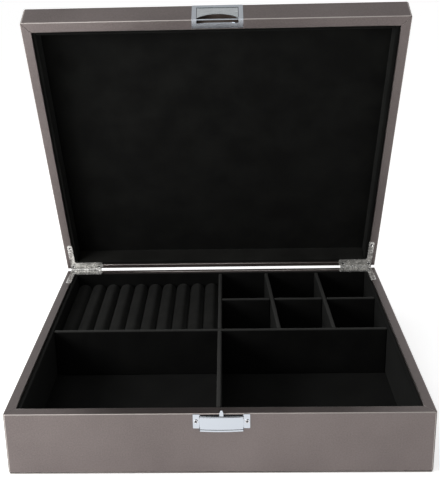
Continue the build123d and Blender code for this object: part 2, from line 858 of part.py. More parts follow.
with BuildPart() as catch_frame:
    plate = (-latch_width / 2, latch_width / 2)
    window = (-catch_window, catch_window)
    block(plate, (catch_front, catch_back), (lid_rim, catch_top))
    block(window, (catch_front, catch_back), (lid_rim, catch_panel_high), Mode.SUBTRACT)
    face_edges = catch_frame.edges().filter_by(Axis.Y).group_by(Axis.Z)[-1]
    fillet(face_edges, plate_corner_radius)
    with BuildSketch(Plane.XZ.offset(-catch_panel_front)):
        with BuildLine():
            Polyline(
                (-catch_window, catch_foot_z),
                (-catch_window, catch_panel_high),
                (catch_window, catch_panel_high),
                (catch_window, catch_foot_z),
            )
            ThreePointArc(
                (catch_window, catch_foot_z), (0, catch_crown_z), (-catch_window, catch_foot_z)
            )
        make_face()
    extrude(amount=-catch_panel_sheet)
    rim_plate_back = catch_front + catch_rim_depth
    for side in (LEFT, RIGHT):
        bar = sorted((side * catch_window, side * latch_width / 2))
        block(bar, (catch_front, rim_plate_back), rim_plate)
    block(plate, (rim_plate_back - catch_rim_bar, rim_plate_back), rim_plate)
    x_cylinder(catch_bar_radius, (-catch_bar_end, catch_bar_end), bar_y, bar_z, Mode.SUBTRACT)
    with BuildSketch(Plane.XZ.offset(-catch_back)):
        with Locations((-spigot_x, spigot_z), (spigot_x, spigot_z)):
            Circle(catch_spigot_radius)
    extrude(amount=-catch_spigot_length)
save(catch_frame.part, "catch_frame", opened=True, at_latch=True)

with BuildPart() as catch_bar:
    x_cylinder(catch_bar_radius, (-catch_bar_end, catch_bar_end), bar_y, bar_z)
save(catch_bar.part, "catch_bar", opened=True, at_latch=True)
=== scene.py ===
import json
from math import cos, pi, radians, sin, sqrt

import bmesh
import bpy
from mathutils import Matrix, Vector, noise


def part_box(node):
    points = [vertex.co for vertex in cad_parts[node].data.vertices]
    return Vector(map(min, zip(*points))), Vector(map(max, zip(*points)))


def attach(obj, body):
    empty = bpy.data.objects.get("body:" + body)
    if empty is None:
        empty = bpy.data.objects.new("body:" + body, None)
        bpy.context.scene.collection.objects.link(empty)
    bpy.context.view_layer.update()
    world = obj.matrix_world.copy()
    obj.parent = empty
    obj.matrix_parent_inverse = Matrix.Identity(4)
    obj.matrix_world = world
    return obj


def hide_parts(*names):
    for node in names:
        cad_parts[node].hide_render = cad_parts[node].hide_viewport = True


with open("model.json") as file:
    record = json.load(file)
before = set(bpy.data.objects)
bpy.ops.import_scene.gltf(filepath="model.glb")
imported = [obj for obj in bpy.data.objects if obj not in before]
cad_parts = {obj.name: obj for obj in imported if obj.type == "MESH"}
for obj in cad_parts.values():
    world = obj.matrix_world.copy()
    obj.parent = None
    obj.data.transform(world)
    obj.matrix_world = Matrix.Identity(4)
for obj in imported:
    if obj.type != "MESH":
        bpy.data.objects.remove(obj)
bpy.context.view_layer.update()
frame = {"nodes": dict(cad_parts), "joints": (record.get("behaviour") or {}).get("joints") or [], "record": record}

# --- Camera -------------------------------------------------------------------------------
# The image is 440 x 477 pixels; the lens is given by its focal length in those pixels.

IMAGE_WIDTH = 440
IMAGE_HEIGHT = 477
FOCAL_PIXELS = 900.75
CENTRE_PIXEL = (201.76, 236.38)
SENSOR = 36.0
CAMERA_PLACE = (0.00898, -0.68666, 0.36541)
CAMERA_AZIMUTH = radians(-1.848)
CAMERA_DOWN = radians(18.992)
CAMERA_ROLL = radians(-1.329)
NEAREST = 0.01
FARTHEST = 60


def make_camera():
    """The camera at the photograph's place, with the shift that its framing needs."""
    forward = Vector((
        sin(CAMERA_AZIMUTH) * cos(CAMERA_DOWN),
        cos(CAMERA_AZIMUTH) * cos(CAMERA_DOWN),
        -sin(CAMERA_DOWN),
    ))
    level = forward.cross(Vector((0, 0, 1))).normalized()
    upright = level.cross(forward)
    right = level * cos(CAMERA_ROLL) + upright * sin(CAMERA_ROLL)
    up = upright * cos(CAMERA_ROLL) - level * sin(CAMERA_ROLL)
    data = bpy.data.cameras.new("camera")
    data.sensor_fit = "AUTO"
    data.sensor_width = SENSOR
    data.lens = SENSOR * FOCAL_PIXELS / IMAGE_HEIGHT
    data.shift_x = (IMAGE_WIDTH / 2 - CENTRE_PIXEL[0]) / IMAGE_HEIGHT
    data.shift_y = (CENTRE_PIXEL[1] - IMAGE_HEIGHT / 2) / IMAGE_HEIGHT
    data.clip_start = NEAREST
    data.clip_end = FARTHEST
    camera = bpy.data.objects.new("camera", data)
    turn = Matrix((right, up, -forward)).transposed().to_4x4()
    camera.matrix_world = Matrix.Translation(CAMERA_PLACE) @ turn
    bpy.context.scene.collection.objects.link(camera)
    bpy.context.scene.camera = camera


make_camera()

MM = 0.001

# --- Shared measures ----------------------------------------------------------------------

hinge = next(joint for joint in frame["joints"] if joint["name"] == "lid_hinge")
hinge_point = Vector(hinge["pos_m"])
shut_turn = radians(hinge["range_deg"][0])
hinge_axis = Vector(hinge["axis"])
to_shut = (
    Matrix.Translation(hinge_point)
    @ Matrix.Rotation(shut_turn, 4, hinge_axis)
    @ Matrix.Translation(-hinge_point)
)
to_open = to_shut.inverted()


def corners_of(points):
    """Lowest and highest corner of some points."""
    low = Vector(min(point[axis] for point in points) for axis in range(3))
    high = Vector(max(point[axis] for point in points) for axis in range(3))
    return low, high


def shut_box(node):
    """Lowest and highest corner of a lid node with the lid shut."""
    return corners_of([to_shut @ vertex.co for vertex in frame["nodes"][node].data.vertices])


# --- Node helpers -------------------------------------------------------------------------


class Shader:
    """A small wrapper that makes a node material line by line."""

    def __init__(self, name):
        self.material = bpy.data.materials.new(name)
        self.material.use_nodes = True
        self.tree = self.material.node_tree
        self.tree.nodes.clear()
        self.output = self.node("ShaderNodeOutputMaterial")
        self.surface = self.node("ShaderNodeBsdfPrincipled")
        self.link(self.surface, "BSDF", self.output, "Surface")
        self.place = self.node("ShaderNodeTexCoord").outputs["Object"]

    def node(self, kind, **settings):
        made = self.tree.nodes.new(kind)
        for key, value in settings.items():
            setattr(made, key, value)
        return made

    def link(self, source, output, target, socket):
        self.tree.links.new(source.outputs[output], target.inputs[socket])

    def noise(self, scale, detail=2.0, roughness=0.5, place=None):
        made = self.node("ShaderNodeTexNoise")
        made.inputs["Scale"].default_value = scale
        made.inputs["Detail"].default_value = detail
        made.inputs["Roughness"].default_value = roughness
        self.tree.links.new(place or self.place, made.inputs["Vector"])
        return made.outputs["Fac"]

    def cells(self, scale):
        made = self.node("ShaderNodeTexVoronoi")
        made.inputs["Scale"].default_value = scale
        self.tree.links.new(self.place, made.inputs["Vector"])
        return made.outputs["Distance"]

    def ramp(self, value, stops):
        made = self.node("ShaderNodeValToRGB")
        elements = made.color_ramp.elements
        while len(elements) < len(stops):
            elements.new(0.5)
        for element, (position, colour) in zip(elements, stops):
            element.position = position
            element.color = (*colour, 1)
        self.tree.links.new(value, made.inputs["Fac"])
        return made.outputs["Color"]

    def span(self, value, low, high, from_low=0.0, from_high=1.0):
        made = self.node("ShaderNodeMapRange")
        made.inputs["From Min"].default_value = from_low
        made.inputs["From Max"].default_value = from_high
        made.inputs["To Min"].default_value = low
        made.inputs["To Max"].default_value = high
        self.tree.links.new(value, made.inputs["Value"])
        return made.outputs["Result"]

    def math(self, operation, first, second=None):
        made = self.node("ShaderNodeMath", operation=operation)
        for index, value in enumerate((first, second)):
            if value is None:
                continue
            if isinstance(value, (int, float)):
                made.inputs[index].default_value = value
            else:
                self.tree.links.new(value, made.inputs[index])
        return made.outputs["Value"]

    def bump(self, height, strength, distance, normal=None):
        made = self.node("ShaderNodeBump")
        made.inputs["Strength"].default_value = strength
        made.inputs["Distance"].default_value = distance
        self.tree.links.new(height, made.inputs["Height"])
        if normal is not None:
            self.tree.links.new(normal, made.inputs["Normal"])
        return made.outputs["Normal"]

    def feed(self, socket, value):
        if isinstance(value, bpy.types.NodeSocket):
            self.tree.links.new(value, self.surface.inputs[socket])
        elif hasattr(value, "__len__") and len(value) == 3:
            self.surface.inputs[socket].default_value = (*value, 1)
        else:
            self.surface.inputs[socket].default_value = value


CHROME_COLOUR = (0.46, 0.49, 0.53)
CATCH_SIDE_BAR = 3.7 * MM
CATCH_TOP_BAR = 3.2 * MM
CATCH_PANEL_FOOT = 2.7 * MM
CORNER_SHADE = 0.22 * MM
OPENED_PILE_AND_HIGHLIGHT = (0.024, 0.024, 0.023)
CREST_START = 1.2 * MM
CREST_END = 0.2 * MM
PANEL_DARK = (0.36, 0.385, 0.40)
PANEL_LIGHT = (0.60, 0.63, 0.65)
# Colour of the painted shade in the sunk panel's corners by the side bars.
PANEL_PAINTED_SHADE = (0.10, 0.10, 0.11)
BRUSHED_STRETCH = (0.06, 1, 1)
BOARD_DARK = (0.035, 0.025, 0.02)
BOARD_LIGHT = (0.075, 0.052, 0.042)


def make_leatherette(name, dark=(0.140, 0.119, 0.115), light=(0.200, 0.171, 0.165), rough=(0.42, 0.5),
                     metal=0.94):
    """Fine-grained leatherette with a soft metallic taupe sheen."""
    shader = Shader(name)
    pebbles = shader.cells(900)
    creases = shader.noise(950, 4, 0.65)
    cloud = shader.noise(14, 3, 0.55)
    mottle = shader.math("MULTIPLY", shader.math("ADD", creases, cloud), 0.5)
    shader.feed("Base Color", shader.ramp(mottle, [(0.36, dark), (0.64, light)]))
    shader.feed("Metallic", metal)
    shader.feed("Roughness", shader.span(cloud, *rough, 0.3, 0.7))
    shader.feed("Specular IOR Level", 0.5)
    waves = shader.bump(shader.noise(30, 2, 0.5), 0.10, 0.6 * MM)
    grain = shader.bump(creases, 0.5, 0.16 * MM, waves)
    shader.feed("Normal", shader.bump(pebbles, 0.4, 0.1 * MM, grain))
    return shader.material


def make_velvet(name, pile=(0.0008, 0.0008, 0.0007), brushed=(0.0028, 0.0029, 0.0026), sheen=0.05,
                crest=None):
    """Short black velvet whose pile lies in soft patches, and turns lighter above a crest height: partly
    opened-out pile, partly a painted highlight.
    """
    shader = Shader(name)
    patches = shader.noise(34, 4, 0.62)
    colour = shader.ramp(patches, [(0.38, pile), (0.66, brushed)])
    # Above the crest height the colour turns lighter: partly opened-out pile, partly a painted highlight on the
    # divider tops.
    if crest is not None:
        split = shader.node("ShaderNodeSeparateXYZ")
        shader.tree.links.new(shader.place, split.inputs[0])
        high = shader.span(split.outputs["Z"], 0, 1, crest - CREST_START, crest - CREST_END)
        blend = shader.node("ShaderNodeMix", data_type="RGBA")
        shader.tree.links.new(high, blend.inputs["Factor"])
        shader.tree.links.new(colour, blend.inputs["A"])
        blend.inputs["B"].default_value = (*OPENED_PILE_AND_HIGHLIGHT, 1)
        colour = blend.outputs["Result"]
    shader.feed("Base Color", colour)
    shader.feed("Roughness", 0.95)
    shader.feed("Specular IOR Level", 0.12)
    shader.feed("Sheen Weight", sheen)
    shader.feed("Sheen Roughness", 0.45)
    shader.feed("Sheen Tint", (0.62, 0.63, 0.6))
    fibres = shader.noise(2600, 2, 0.7)
    soft = shader.bump(patches, 0.25, 0.4 * MM)
    shader.feed("Normal", shader.bump(fibres, 0.35, 0.12 * MM, soft))
    return shader.material


def make_chrome(name):
    """Bright plate with faint smears and hairlines."""
    shader = Shader(name)
    smears = shader.noise(160, 4, 0.6)
    shader.feed("Base Color", CHROME_COLOUR)
    shader.feed("Metallic", 1.0)
    shader.feed("Roughness", shader.span(smears, 0.05, 0.14, 0.3, 0.7))
    shader.feed("Normal", shader.bump(shader.noise(900, 2, 0.5), 0.03, 0.05 * MM))
    return shader.material


def make_catch_plate(name):
    """Bright plate of the catch, whose sunk panel is brushed lengthwise, with painted shade in a thin dark line
    along its sides.
    """
    shader = Shader(name)
    low, high = shut_box("catch_frame")
    up = (to_open.to_3x3() @ Vector((0, 0, 1))).normalized()
    start = to_open @ Vector((0, low.y, low.z))
    height = shader.node("ShaderNodeVectorMath", operation="DOT_PRODUCT")
    shader.tree.links.new(shader.place, height.inputs[0])
    height.inputs[1].default_value = up
    split = shader.node("ShaderNodeSeparateXYZ")
    shader.tree.links.new(shader.place, split.inputs[0])
    above = shader.math("SUBTRACT", height.outputs["Value"], up.dot(start))
    aside = shader.math("ABSOLUTE", shader.math("SUBTRACT", split.outputs["X"], (low.x + high.x) / 2))
    window = (high.x - low.x) / 2 - CATCH_SIDE_BAR
    foot = shader.math("GREATER_THAN", above, CATCH_PANEL_FOOT)
    head = shader.math("LESS_THAN", above, high.z - low.z - CATCH_TOP_BAR)
    side = shader.math("LESS_THAN", aside, window + CORNER_SHADE)
    panel = shader.math("MULTIPLY", shader.math("MULTIPLY", foot, head), side)
    # A thin band at the panel's sides is darkened: painted shade where the panel meets the raised side bars.
    painted_corner_shade = shader.math("MULTIPLY", panel, shader.math("GREATER_THAN", aside, window - CORNER_SHADE))
    stretch = shader.node("ShaderNodeMapping")
    stretch.inputs["Scale"].default_value = BRUSHED_STRETCH
    shader.tree.links.new(shader.place, stretch.inputs["Vector"])
    streaks = shader.noise(2600, 3, 0.7, stretch.outputs["Vector"])
    brushed = shader.ramp(streaks, [(0.3, PANEL_DARK), (0.7, PANEL_LIGHT)])
    first = shader.node("ShaderNodeMix", data_type="RGBA")
    shader.tree.links.new(panel, first.inputs["Factor"])
    first.inputs["A"].default_value = (*CHROME_COLOUR, 1)
    shader.tree.links.new(brushed, first.inputs["B"])
    second = shader.node("ShaderNodeMix", data_type="RGBA")
    shader.tree.links.new(painted_corner_shade, second.inputs["Factor"])
    shader.tree.links.new(first.outputs["Result"], second.inputs["A"])
    second.inputs["B"].default_value = (*PANEL_PAINTED_SHADE, 1)
    shader.feed("Base Color", second.outputs["Result"])
    shader.feed("Metallic", 1.0)
    shader.feed("Roughness", shader.span(panel, 0.1, 0.26))
    shader.feed("Normal", shader.bump(streaks, 0.12, 0.04 * MM))
    return shader.material


def make_nickel(name, dark=(0.46, 0.455, 0.44), light=(0.86, 0.85, 0.82)):
    """Pressed and plated sheet of the hinges, with uneven shine and a faintly hammered face."""
    shader = Shader(name)
    pressing = shader.noise(260, 3, 0.6)
    shader.feed("Base Color", shader.ramp(pressing, [(0.35, dark), (0.6, light)]))
    shader.feed("Metallic", 0.72)
    shader.feed("Roughness", shader.span(pressing, 0.14, 0.32, 0.35, 0.65))
    dents = shader.bump(pressing, 0.3, 0.3 * MM)
    shader.feed("Normal", shader.bump(shader.noise(1500, 2, 0.6), 0.04, 0.06 * MM, dents))
    return shader.material


def make_steel(name, colour=(0.66, 0.66, 0.67)):
    """Bright turned steel of the screws and pins, or the same steel darkened as painted shade in their recesses.
    """
    shader = Shader(name)
    turning = shader.noise(1400, 3, 0.6)
    shader.feed("Base Color", colour)
    shader.feed("Metallic", 1.0)
    shader.feed("Roughness", shader.span(turning, 0.16, 0.34, 0.3, 0.7))
    shader.feed("Normal", shader.bump(turning, 0.08, 0.04 * MM))
    return shader.material


def make_board(name):
    """Dark brown hardboard under the cover."""
    shader = Shader(name)
    fibres = shader.noise(300, 5, 0.7)
    shader.feed("Base Color", shader.ramp(fibres, [(0.35, BOARD_DARK), (0.65, BOARD_LIGHT)]))
    shader.feed("Roughness", 0.85)
    shader.feed("Normal", shader.bump(fibres, 0.2, 0.2 * MM))
    return shader.material


PRESSED_EDGE = 0.24 * MM
PLATED_EDGE = 0.15 * MM
SHARP_EDGE = radians(35)


def soften_edges(node, width, material=-1, clamp=True):
    """Rounds the edges of a metal node a little, so that they catch the light."""
    bevel = node.modifiers.new("edges", "BEVEL")
    bevel.width = width
    bevel.segments = 2
    bevel.limit_method = "ANGLE"
    bevel.angle_limit = SHARP_EDGE
    bevel.harden_normals = False
    bevel.use_clamp_overlap = clamp
    bevel.material = material


leatherette = make_leatherette("leatherette")
# Lighter, less metallic leatherette for the rounded folds: a painted highlight along the edges.
polished_edge_painted_highlight = make_leatherette(
    "polished_edge_painted_highlight", dark=(0.40, 0.365, 0.345), light=(0.50, 0.455, 0.43), rough=(0.32, 0.4), metal=0.4
)
board_edge = make_leatherette(
    "board_edge", dark=(0.27, 0.25, 0.24), light=(0.34, 0.315, 0.30), rough=(0.5, 0.6)
)
divider_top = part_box("centre_divider")[1].z
velvet = make_velvet("velvet")
# The lid, lid rear-lining and roll velvets are the same black velvet, painted lighter as painted light where more
# light falls on them.
lid_velvet = make_velvet("lid_velvet", (0.0022, 0.0023, 0.0020), (0.0058, 0.0060, 0.0053), 0.05)
lining_velvet_painted_lighter = make_velvet("lining_velvet_painted_lighter", (0.0060, 0.0060, 0.0053), (0.0110, 0.0110, 0.0098), 0.09)
roll_velvet_painted_lighter = make_velvet("roll_velvet_painted_lighter", (0.0024, 0.0024, 0.0022), (0.0066, 0.0066, 0.0060), 0.08)
divider_velvet = make_velvet("divider_velvet", crest=divider_top)
chrome = make_chrome("chrome")
catch_plate = make_catch_plate("catch_plate")
nickel = make_nickel("nickel")
# Near-white nickel for the leaves' rounded edges: a painted highlight.
nickel_painted_highlight = make_nickel("nickel_painted_highlight", (0.84, 0.83, 0.80), (0.93, 0.92, 0.89))
steel = make_steel("steel")
# Near-black steel for the screws' cross recesses: painted shade.
recess_painted_shade_steel = make_steel("recess_painted_shade_steel", (0.045, 0.045, 0.05))
board = make_board("fibreboard")
finish_of = {
    "leatherette": leatherette,
    "velvet": velvet,
    "plated_metal": chrome,
    "screw_steel": steel,
    "board": board,
}
for entry in frame["record"]["subparts"]:
    node = frame["nodes"][entry["node"]]
    node.data.materials.clear()
    leaf = "hinge_leaf" in entry["node"]
    finish = finish_of[entry["material_slot"]]
    if leaf:
        finish = nickel
    if entry["node"] == "catch_frame":
        finish = catch_plate
    node.data.materials.append(finish)
    if leaf:
        # The bevel faces of the hinge leaves take the near-white nickel: a painted highlight on the edges.
        node.data.materials.append(nickel_painted_highlight)
        soften_edges(node, PRESSED_EDGE, 1, clamp=False)
    elif entry["material_slot"] == "plated_metal":
        soften_edges(node, PLATED_EDGE)

# --- Velvet-covered boards ----------------------------------------------------------------

WELD = 0.002 * MM
BOARD_EDGE = 0.9 * MM
BOARD_EDGE_STEPS = 4
WEAVE_PITCH = 7 * MM
WEAVE_SIZE = 22 * MM
WEAVE_DEPTH = 0.12 * MM
SEED_STEP = (7.3, 3.1, 5.7)


def ripple(vertices, size, depth, seed):
    """Moves vertices along their normals by a smooth, fixed noise."""
    offset = Vector(seed * step for step in SEED_STEP)
    for vertex in vertices:
        vertex.co += vertex.normal * depth * noise.noise(vertex.co / size + offset)


def piece(name, mesh, body, material, nodes, turn=None, others=(), smooth=True):
    """Turns a bmesh into a shown piece that rides on a body and stands for CAD nodes."""
    if turn is not None:
        mesh.transform(turn)
    data = bpy.data.meshes.new(name)
    mesh.normal_update()
    mesh.to_mesh(data)
    mesh.free()
    for finish in (material, *others):
        data.materials.append(finish)
    if smooth:
        data.shade_smooth()
    made = bpy.data.objects.new(name, data)
    bpy.context.scene.collection.objects.link(made)
    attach(made, body)
    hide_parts(*nodes)
    return made


def soft_prism(outline, low, high, lift, radius, seed):
    """A prism with rounded edges and slightly uneven faces; lift turns (along, up, across) into a place."""
    mesh = bmesh.new()
    bottom = [mesh.verts.new(lift(along, up, low)) for along, up in outline]
    top = [mesh.verts.new(lift(along, up, high)) for along, up in outline]
    mesh.faces.new(bottom)
    mesh.faces.new(top[::-1])
    for index in range(len(outline)):
        after = (index + 1) % len(outline)
        mesh.faces.new((bottom[after], bottom[index], top[index], top[after]))
    bmesh.ops.recalc_face_normals(mesh, faces=mesh.faces)
    bmesh.ops.bevel(
        mesh, geom=list(mesh.edges), offset=radius, segments=BOARD_EDGE_STEPS, profile=0.5,
        affect="EDGES", clamp_overlap=True
    )
    corner_low, corner_high = corners_of([vertex.co for vertex in mesh.verts])
    for axis in range(3):
        span = corner_high[axis] - corner_low[axis]
        cuts = int(span / WEAVE_PITCH)
        normal = Vector((axis == 0, axis == 1, axis == 2))
        for index in range(1, cuts):
            at = corner_low.copy()
            at[axis] += span * index / cuts
            bmesh.ops.bisect_plane(mesh, geom=mesh.verts[:] + mesh.edges[:] + mesh.faces[:],
                                   plane_co=at, plane_no=normal)
    mesh.normal_update()
    ripple(mesh.verts, WEAVE_SIZE, WEAVE_DEPTH, seed)
    return mesh


def upright_lift(axis):
    """Places a prism whose outline lies in the (axis, z) plane, its thickness on the third axis."""
    if axis == 0:
        return lambda along, up, across: Vector((along, across, up))
    return lambda along, up, across: Vector((across, along, up))


def box_outline(low, high, axis):
    return [(low[axis], low.z), (high[axis], low.z), (high[axis], high.z), (low[axis], high.z)]


def lining_board(node, body, seed, turned=False):
    """A lining or panel with the size of its node, its velvet rolled round the edges."""
    low, high = shut_box(node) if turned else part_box(node)
    axis = 0 if high.x - low.x > high.y - low.y else 1
    across = 1 - axis
    mesh = soft_prism(
        box_outline(low, high, axis), low[across], high[across], upright_lift(axis), BOARD_EDGE, seed
    )
    pile = lid_velvet if turned else velvet
    if node == "lid_rear_lining":
        pile = lining_velvet_painted_lighter
    piece(f"{node}_velvet", mesh, body, pile, [node], to_open if turned else None)


seed = 1
for node in ("base_front_lining", "base_rear_lining", "base_left_lining", "base_right_lining",
             "floor_lining", "ring_roll_base"):
    lining_board(node, "base", seed)
    seed += 1
for node in ("lid_front_lining", "lid_rear_lining", "lid_left_lining", "lid_right_lining", "lid_panel"):
    lining_board(node, "lid", seed, turned=True)
    seed += 1


def notched_outline(low, high, axis, notches, from_top):
    """The side of a divider with its half-lap slots, each a (start, end, depth)."""
    if from_top:
        edge, other = high.z, low.z
    else:
        edge, other = low.z, high.z
    outline = [(low[axis], other), (low[axis], edge)]
    for start, end, depth in notches:
        outline += [(start, edge), (start, depth), (end, depth), (end, edge)]
    return outline + [(high[axis], edge), (high[axis], other)]


DIVIDER_EDGE = 1.0 * MM
LAP_PLAY = 0.1 * MM
centre_low, centre_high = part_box("centre_divider")
cross_low, cross_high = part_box("cross_divider")
divider_thickness = centre_high.x - centre_low.x
lap_height = (centre_low.z + centre_high.z) / 2
lap_half = divider_thickness / 2 + LAP_PLAY

mesh = soft_prism(
    notched_outline(centre_low, centre_high, 1, [(-lap_half, lap_half, lap_height)], True),
    centre_low.x, centre_high.x, upright_lift(1), DIVIDER_EDGE, seed
)
piece("centre_divider_velvet", mesh, "base", divider_velvet, ["centre_divider"])
mesh = soft_prism(
    notched_outline(cross_low, cross_high, 0, [(-lap_half, lap_half, lap_height)], False),
    cross_low.y, cross_high.y, upright_lift(0), DIVIDER_EDGE, seed + 1
)
piece("cross_divider_velvet", mesh, "base", divider_velvet, ["cross_divider"])
seed += 2

CELL_SKEW = (radians(2.5), radians(1.4))
cell_low, cell_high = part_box("cell_cross_divider")
cell_y = (cell_low.y + cell_high.y) / 2
cell_laps = []
for index, skew in enumerate(CELL_SKEW):
    node = f"cell_divider_{index + 1}"
    low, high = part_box(node)
    middle = (low + high) / 2
    length = (high.y - low.y - divider_thickness * sin(skew)) / cos(skew)
    half = divider_thickness / 2
    lap = (half + 2 * LAP_PLAY) / cos(skew)
    cell_laps.append((middle.x - lap - half * sin(skew), middle.x + lap + half * sin(skew), lap_height))
    along_low = Vector((-half, -length / 2, low.z))
    along_high = Vector((half, length / 2, high.z))
    notch = half + 2 * LAP_PLAY
    outline = notched_outline(along_low, along_high, 1, [(-notch, notch, lap_height)], False)
    mesh = soft_prism(outline, -half, half, upright_lift(1), DIVIDER_EDGE, seed)
    seed += 1
    turn = Matrix.Translation((middle.x, cell_y, 0)) @ Matrix.Rotation(skew, 4, "Z")
    piece(f"{node}_velvet", mesh, "base", divider_velvet, [node], turn)
mesh = soft_prism(
    notched_outline(cell_low, cell_high, 0, cell_laps, True),
    cell_low.y, cell_high.y, upright_lift(0), DIVIDER_EDGE, seed
)
piece("cell_cross_divider_velvet", mesh, "base", divider_velvet, ["cell_cross_divider"])
seed += 1

# --- Leatherette covers and the bottom board ----------------------------------------------

FOLD_EDGE = 0.45 * MM
FOLD_ANGLE = radians(30)
FLAT_ANGLE = radians(0.5)
GRID_PITCH = 24 * MM
GRID_MARGIN = 1.5 * MM
SHORTEST_FOLD = 0.8 * MM
SEAM_REACH = 0.3 * MM
SEAM_LENGTH = 10 * MM
SLIM_AREA = 16 * MM**2
ROUND_NORMAL = 0.99
FITTING_MARGIN = 0.8 * MM
STRAIGHT = 0.9999
ON_PLANE = 0.01 * MM


def inside(point, box, margin):
    """Whether a point lies in a box, with a margin."""
    low, high = box
    return all(low[axis] - margin < point[axis] < high[axis] + margin for axis in range(3))


def from_mitre(point, low, high):
    """Distance of a point from the nearer front corner's mitre line, or SEAM_LENGTH away from it."""
    if point.y > low.y + SEAM_LENGTH:
        return SEAM_LENGTH
    return abs((high.x - abs(point.x)) - (point.y - low.y)) / sqrt(2)


def square_up(mesh, low, high, fittings):
    """Cuts a mesh on a grid and joins its flat faces, apart from those round holes and seams."""
    for axis in (0, 1):
        length = high[axis] - low[axis]
        count = int(length / GRID_PITCH)
        cuts = [low[axis] + length * index / count for index in range(1, count)]
        cuts += [low[axis] + GRID_MARGIN, high[axis] - GRID_MARGIN]
        normal = Vector((axis == 0, axis == 1, 0))
        for at in cuts:
            bmesh.ops.bisect_plane(mesh, geom=mesh.verts[:] + mesh.edges[:] + mesh.faces[:],
                                   plane_co=normal * at, plane_no=normal)
    mesh.normal_update()
    loose = []
    for edge in mesh.edges:
        if len(edge.link_faces) == 2 and edge.calc_face_angle() < FLAT_ANGLE:
            first, second = (vertex.co for vertex in edge.verts)
            along = (second - first).normalized()
            near_seam = min(from_mitre(point, low, high) for point in (first, second)) < SEAM_REACH
            near_hole = any(
                inside(point, box, GRID_MARGIN) for box in fittings for point in (first, second)
            )
            if max(abs(value) for value in along) < STRAIGHT and not near_seam and not near_hole:
                loose.append(edge)
    bmesh.ops.dissolve_edges(mesh, edges=loose, use_verts=True, use_face_split=False)
    mesh.normal_update()


def outer_folds(mesh, low, high, closed_below, fittings):
    """The straight convex edges on the outside of a cover, without those round its fittings."""
    folds = []
    for edge in mesh.edges:
        if len(edge.link_faces) != 2 or not edge.is_convex or edge.calc_length() < SHORTEST_FOLD:
            continue
        first, second = (vertex.co for vertex in edge.verts)
        middle = (first + second) / 2
        along = (second - first).normalized()
        if max(abs(value) for value in along) < STRAIGHT or edge.calc_face_angle() < FOLD_ANGLE:
            continue
        skin_end = not closed_below and middle.z < low.z + GRID_MARGIN and abs(along.z) < 0.5
        outside = any(
            abs(middle[axis] - limit[axis]) < ON_PLANE for axis in range(3) for limit in (low, high)
        )
        at_fitting = any(inside(middle, box, FITTING_MARGIN) for box in fittings)
        if outside and not skin_end and not at_fitting:
            folds.append(edge)
    return folds


def cover(node, body, turn, fittings):
    """A cover whose straight folds are rounded and polished and carry a painted highlight in a lighter colour,
    with its mitre seams darkened.
    """
    mesh = bmesh.new()
    mesh.from_mesh(frame["nodes"][node].data)
    mesh.transform(turn)
    bmesh.ops.remove_doubles(mesh, verts=mesh.verts, dist=WELD)
    low, high = corners_of([vertex.co for vertex in mesh.verts])
    square_up(mesh, low, high, fittings)
    # Slim rounded faces, and the faces the bevel makes, take the lighter edge colour: a painted highlight along
    # the folds.
    for face in mesh.faces:
        slim = face.calc_area() < SLIM_AREA
        if slim and from_mitre(face.calc_center_median(), low, high) < SEAM_REACH:
            face.material_index = 2
        elif slim and max(abs(value) for value in face.normal) < ROUND_NORMAL:
            face.material_index = 1
        else:
            face.material_index = 0
    bmesh.ops.bevel(
        mesh, geom=outer_folds(mesh, low, high, body == "lid", fittings), offset=FOLD_EDGE, segments=2,
        profile=0.5, affect="EDGES", clamp_overlap=False, loop_slide=False, material=1
    )
    for face in mesh.faces:
        face.smooth = face.material_index == 1
    back = None if body == "base" else to_open
    piece(f"{node}_leatherette", mesh, body, leatherette, [node], back,
          (polished_edge_painted_highlight, board), smooth=False)


SIDES = ("left", "right")
base_fittings = [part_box(f"base_hinge_leaf_{side}") for side in SIDES] + [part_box("latch_plate")]
lid_fittings = [shut_box(f"lid_hinge_leaf_{side}") for side in SIDES] + [shut_box("catch_frame")]
cover("base_cover", "base", Matrix.Identity(4), base_fittings)
cover("lid_cover", "lid", to_shut, lid_fittings)

SEAM_HEIGHT = 0.55 * MM
SEAM_INSET = 0.9 * MM
FOOT_EDGE = 0.4 * MM
FOOT_CORNER = 1.6 * MM
CORNER_STEPS = 6
FOOT_ROUND = 0.3
SEAM_LEVEL = 4


def rounded_outline(low, high, radius):
    """Points round a rectangle with rounded corners."""
    points = []
    corners = ((high.x, high.y), (low.x, high.y), (low.x, low.y), (high.x, low.y))
    for index, (x, y) in enumerate(corners):
        centre = (x - radius if x > 0 else x + radius, y - radius if y > 0 else y + radius)
        for step in range(CORNER_STEPS + 1):
            angle = pi / 2 * (index + step / CORNER_STEPS)
            points.append((centre[0] + radius * cos(angle), centre[1] + radius * sin(angle)))
    return points


